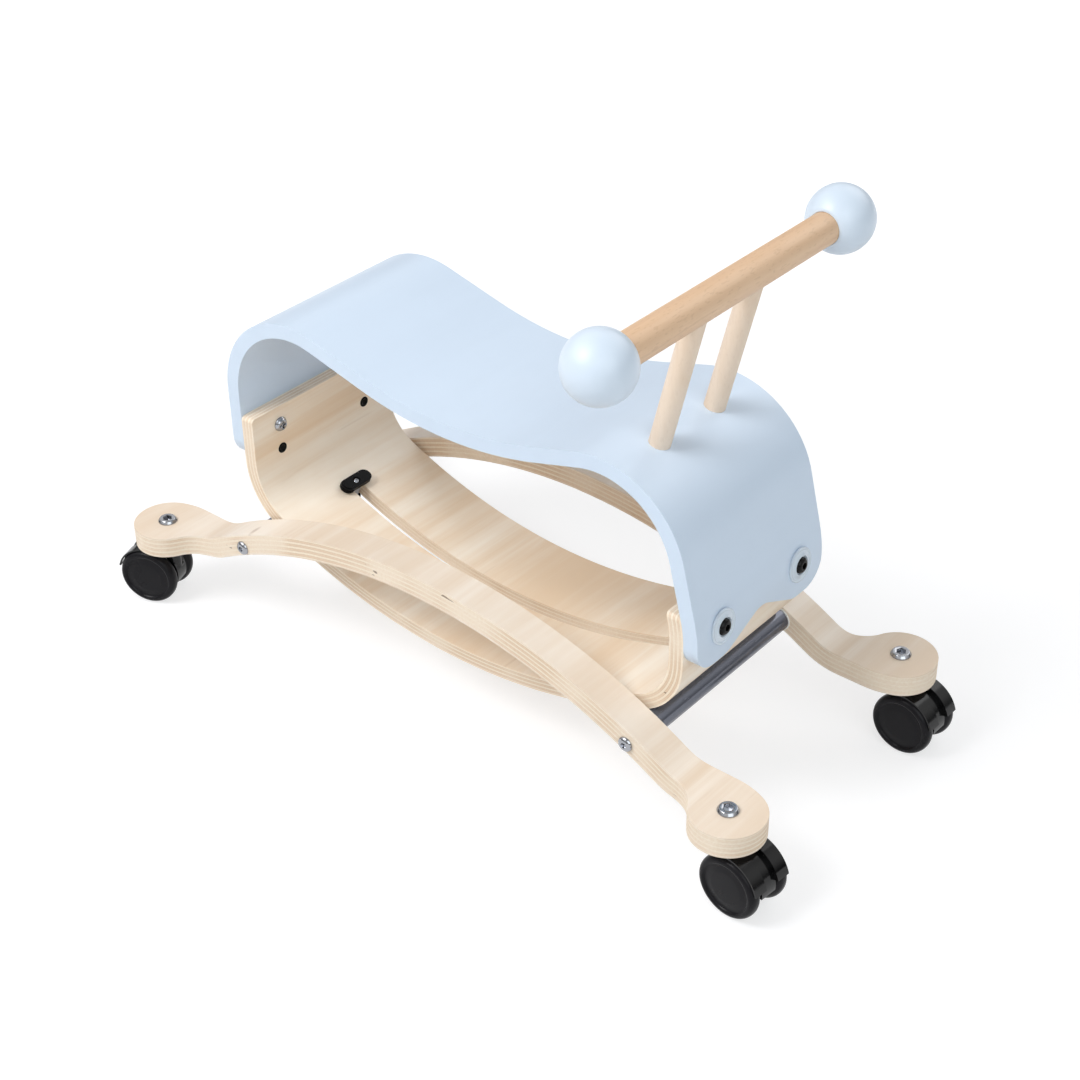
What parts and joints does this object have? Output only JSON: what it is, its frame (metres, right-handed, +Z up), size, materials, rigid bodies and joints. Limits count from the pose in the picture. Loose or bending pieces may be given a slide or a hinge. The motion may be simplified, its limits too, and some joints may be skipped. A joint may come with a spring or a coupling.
{
  "type": "wooden balance rocker",
  "caption": "Child's ride-on of bent plywood: a curled pale blue seat over a slotted rocker, carried on arched side arms with swivel casters, with a round wooden handlebar.",
  "frame": {"origin": "on the floor under the middle of the seat and of the rocker", "axes": "+X forwards to the handlebar, +Y to the rider's left, +Z up; the floor is z = 0"},
  "size_m": [0.658, 0.3196, 0.419],
  "materials": {
    "blue_ply": "pale blue satin paint on birch plywood",
    "blue_wood": "pale blue satin paint on turned wood",
    "birch_ply": "clear satin varnish on birch plywood, plies showing on the edges",
    "birch_rod": "clear satin varnish",
    "beech": "clear satin varnish, fine flecks",
    "gunmetal": "dark grey satin coating",
    "zinc": "bright zinc plating",
    "black_steel": "black oxide",
    "black_plastic": "gloss black",
    "wheel_plastic": "satin charcoal",
    "white_plastic": "matte white",
    "grey_plastic": "matte grey",
    "pale_plastic": "milky, half clear"
  },
  "bodies": {
    "frame": {"seat_shell": "blue_ply", "rocker_base": "birch_ply", "arm_right": "birch_ply", "arm_left": "birch_ply", "front_cross_tube": "gunmetal", "rear_cross_tube": "gunmetal", "tube_plugs": "zinc", "tube_washers": "white_plastic", "tube_bolts": "zinc", "front_saddle": "black_plastic", "rear_saddle": "black_plastic", "button_screws": "zinc", "button_spacers": "grey_plastic", "handle_bar": "beech", "post_right": "birch_rod", "post_left": "birch_rod", "ball_right": "blue_wood", "ball_left": "blue_wood", "post_screws": "zinc", "front_bolts": "black_steel", "front_washers": "pale_plastic", "front_nuts": "zinc", "rear_bolts": "black_steel", "rear_washers": "pale_plastic", "rear_nuts": "zinc", "front_right_stem": "zinc", "front_right_nut": "zinc", "front_left_stem": "zinc", "front_left_nut": "zinc", "rear_right_stem": "zinc", "rear_right_nut": "zinc", "rear_left_stem": "zinc", "rear_left_nut": "zinc"},
    "front_button": {"front_turn_button": "black_plastic"},
    "rear_button": {"rear_turn_button": "black_plastic"},
    "front_right_caster": {"front_right_hood": "black_plastic", "front_right_axle": "zinc"},
    "front_right_wheel_1": {"front_right_wheel_a": "wheel_plastic"},
    "front_right_wheel_2": {"front_right_wheel_b": "wheel_plastic"},
    "front_left_caster": {"front_left_hood": "black_plastic", "front_left_axle": "zinc"},
    "front_left_wheel_1": {"front_left_wheel_a": "wheel_plastic"},
    "front_left_wheel_2": {"front_left_wheel_b": "wheel_plastic"},
    "rear_right_caster": {"rear_right_hood": "black_plastic", "rear_right_axle": "zinc"},
    "rear_right_wheel_1": {"rear_right_wheel_a": "wheel_plastic"},
    "rear_right_wheel_2": {"rear_right_wheel_b": "wheel_plastic"},
    "rear_left_caster": {"rear_left_hood": "black_plastic", "rear_left_axle": "zinc"},
    "rear_left_wheel_1": {"rear_left_wheel_a": "wheel_plastic"},
    "rear_left_wheel_2": {"rear_left_wheel_b": "wheel_plastic"}
  },
  "joints": [
    {"name": "front_button_turn", "type": "hinge", "parent": "frame", "child": "front_button", "pos_m": [0.17361, 0, 0.10008], "axis": [-0.4068, 0, 0.9135], "range_deg": [0, 90]},
    {"name": "rear_button_turn", "type": "hinge", "parent": "frame", "child": "rear_button", "pos_m": [-0.17361, 0, 0.10008], "axis": [0.4068, 0, 0.9135], "range_deg": [0, 90]},
    {"name": "front_right_swivel", "type": "hinge", "parent": "frame", "child": "front_right_caster", "pos_m": [0.2846, -0.112, 0.025], "axis": [0, 0, 1], "continuous": true},
    {"name": "front_right_wheel_1_spin", "type": "hinge", "parent": "front_right_caster", "child": "front_right_wheel_1", "pos_m": [0.29927, -0.12712, 0.025], "axis": [0.0924, 0.9957, 0], "continuous": true},
    {"name": "front_right_wheel_2_spin", "type": "hinge", "parent": "front_right_caster", "child": "front_right_wheel_2", "pos_m": [0.3018, -0.09984, 0.025], "axis": [0.0924, 0.9957, 0], "continuous": true},
    {"name": "front_left_swivel", "type": "hinge", "parent": "frame", "child": "front_left_caster", "pos_m": [0.2846, 0.112, 0.025], "axis": [0, 0, 1], "continuous": true},
    {"name": "front_left_wheel_1_spin", "type": "hinge", "parent": "front_left_caster", "child": "front_left_wheel_1", "pos_m": [0.30021, 0.09786, 0.025], "axis": [0.0279, 0.9996, 0], "continuous": true},
    {"name": "front_left_wheel_2_spin", "type": "hinge", "parent": "front_left_caster", "child": "front_left_wheel_2", "pos_m": [0.30098, 0.12525, 0.025], "axis": [0.0279, 0.9996, 0], "continuous": true},
    {"name": "rear_right_swivel", "type": "hinge", "parent": "frame", "child": "rear_right_caster", "pos_m": [-0.2846, -0.112, 0.025], "axis": [0, 0, 1], "continuous": true},
    {"name": "rear_right_wheel_1_spin", "type": "hinge", "parent": "rear_right_caster", "child": "rear_right_wheel_1", "pos_m": [-0.3045, -0.10508, 0.025], "axis": [0.3649, -0.9311, 0], "continuous": true},
    {"name": "rear_right_wheel_2_spin", "type": "hinge", "parent": "rear_right_caster", "child": "rear_right_wheel_2", "pos_m": [-0.2945, -0.13059, 0.025], "axis": [0.3649, -0.9311, 0], "continuous": true},
    {"name": "rear_left_swivel", "type": "hinge", "parent": "frame", "child": "rear_left_caster", "pos_m": [-0.2846, 0.112, 0.025], "axis": [0, 0, 1], "continuous": true},
    {"name": "rear_left_wheel_1_spin", "type": "hinge", "parent": "rear_left_caster", "child": "rear_left_wheel_1", "pos_m": [-0.29826, 0.12803, 0.025], "axis": [-0.1564, -0.9877, 0], "continuous": true},
    {"name": "rear_left_wheel_2_spin", "type": "hinge", "parent": "rear_left_caster", "child": "rear_left_wheel_2", "pos_m": [-0.30255, 0.10097, 0.025], "axis": [-0.1564, -0.9877, 0], "continuous": true}
  ]
}
